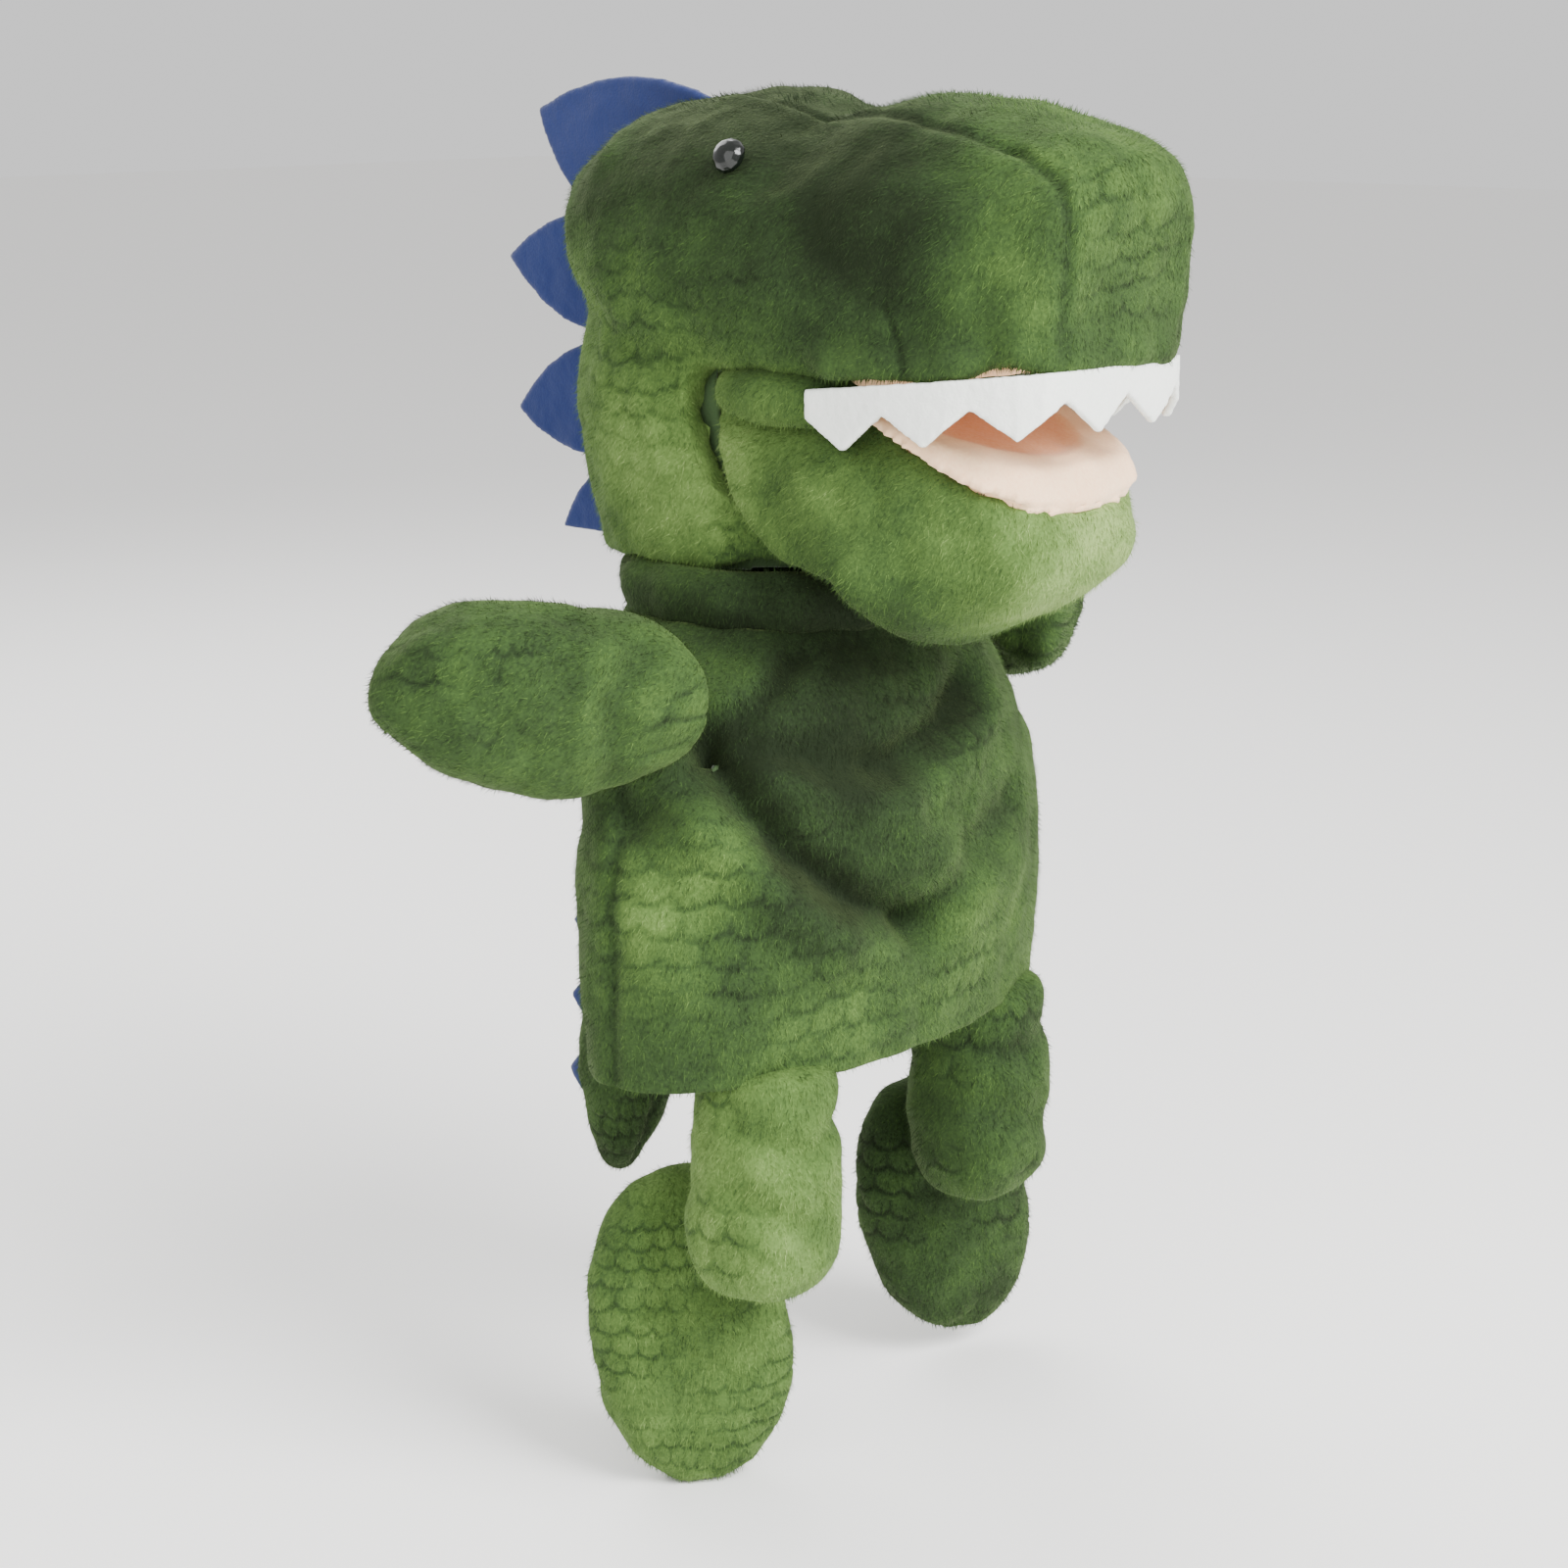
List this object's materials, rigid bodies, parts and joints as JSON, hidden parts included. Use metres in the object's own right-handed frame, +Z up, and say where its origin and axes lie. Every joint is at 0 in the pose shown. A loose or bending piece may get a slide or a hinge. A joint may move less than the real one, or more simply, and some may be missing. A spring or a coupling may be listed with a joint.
{
  "type": "dinosaur hand puppet",
  "caption": "Plush dinosaur hand puppet with a hollow sleeve, a mouth that opens, felt teeth and back spikes, stuffed arms, legs, feet and tail.",
  "frame": {"origin": "middle of the hand opening, in the plane of the sleeve's hem", "axes": "+Z up through the neck to the head, -Y the way the puppet faces, +X the puppet's own left side"},
  "size_m": [0.2425, 0.1901, 0.3266],
  "materials": {
    "plush": "short-pile plush with an embossed scale pattern, mottled light and dark green",
    "sole_plush": "short-pile yellow-green plush",
    "blue_felt": "matte pressed felt",
    "white_felt": "matte pressed felt",
    "peach_fleece": "soft brushed fleece",
    "lining_cloth": "plain woven lining",
    "polyester_filling": "loose polyester fibre",
    "label_satin": "blank satin ribbon",
    "safety_eye": "polished black",
    "eye_washer": "moulded",
    "palate_board": "flexible sheet"
  },
  "bodies": {
    "torso": {"body_front": "plush", "body_back": "plush", "sleeve_lining": "lining_cloth", "hem_band": "plush", "care_label": "label_satin", "spike_5": "blue_felt", "spike_6": "blue_felt", "spike_7": "blue_felt"},
    "neck": {"neck_panel": "plush"},
    "head": {"head_side_right": "plush", "head_side_left": "plush", "head_gusset": "plush", "head_filling": "polyester_filling", "finger_pocket": "lining_cloth", "mouth_lining_upper": "peach_fleece", "palate_board_upper": "palate_board", "teeth_strip": "white_felt", "eye_right": "safety_eye", "eye_left": "safety_eye", "eye_washer_right": "eye_washer", "eye_washer_left": "eye_washer", "spike_1": "blue_felt", "spike_2": "blue_felt", "spike_3": "blue_felt", "spike_4": "blue_felt"},
    "jaw": {"jaw_panel": "plush", "jaw_filling": "polyester_filling", "mouth_lining_lower": "peach_fleece", "palate_board_lower": "palate_board", "thumb_pocket": "lining_cloth"},
    "arm_right": {"arm_right_skin": "plush", "arm_right_filling": "polyester_filling"},
    "arm_left": {"arm_left_skin": "plush", "arm_left_filling": "polyester_filling"},
    "leg_right": {"leg_right_skin": "plush", "leg_right_filling": "polyester_filling"},
    "leg_left": {"leg_left_skin": "plush", "leg_left_filling": "polyester_filling"},
    "foot_right": {"foot_right_top": "plush", "foot_right_sole": "sole_plush", "foot_right_filling": "polyester_filling"},
    "foot_left": {"foot_left_top": "plush", "foot_left_sole": "sole_plush", "foot_left_filling": "polyester_filling"},
    "tail": {"tail_right": "plush", "tail_left": "plush", "tail_filling": "polyester_filling", "spike_8": "blue_felt", "spike_9": "blue_felt", "spike_10": "blue_felt"}
  },
  "joints": [
    {"name": "neck_turn", "type": "hinge", "parent": "torso", "child": "neck", "pos_m": [0, 0.014, 0.1], "axis": [0, 0, 1], "range_deg": [-30, 30]},
    {"name": "head_nod", "type": "hinge", "parent": "neck", "child": "head", "pos_m": [0, 0.014, 0.1045], "axis": [1, 0, 0], "range_deg": [-12, 6]},
    {"name": "jaw_open", "type": "hinge", "parent": "head", "child": "jaw", "pos_m": [0, -0.025, 0.1535], "axis": [1, 0, 0], "range_deg": [-17, 8]},
    {"name": "shoulder_right", "type": "hinge", "parent": "torso", "child": "arm_right", "pos_m": [-0.07853, 0.0005, 0.0875], "axis": [0.5, 0.866, 0], "range_deg": [-22, 30]},
    {"name": "shoulder_left", "type": "hinge", "parent": "torso", "child": "arm_left", "pos_m": [0.07767, 0.00177, 0.0875], "axis": [0.6157, -0.788, 0], "range_deg": [-22, 30]},
    {"name": "hip_right", "type": "hinge", "parent": "torso", "child": "leg_right", "pos_m": [-0.041, -0.015, -0.0173], "axis": [1, 0, 0], "range_deg": [-75, 30]},
    {"name": "hip_left", "type": "hinge", "parent": "torso", "child": "leg_left", "pos_m": [0.041, -0.015, -0.0173], "axis": [1, 0, 0], "range_deg": [-75, 30]},
    {"name": "ankle_right", "type": "hinge", "parent": "leg_right", "child": "foot_right", "pos_m": [-0.041, -0.015, -0.0373], "axis": [1, 0, 0], "range_deg": [-18, 18]},
    {"name": "ankle_left", "type": "hinge", "parent": "leg_left", "child": "foot_left", "pos_m": [0.041, -0.015, -0.0373], "axis": [1, 0, 0], "range_deg": [-18, 18]},
    {"name": "tail_swing", "type": "hinge", "parent": "torso", "child": "tail", "pos_m": [0, 0.0575, 0.0175], "axis": [1, 0, 0], "range_deg": [-5, 50]}
  ]
}
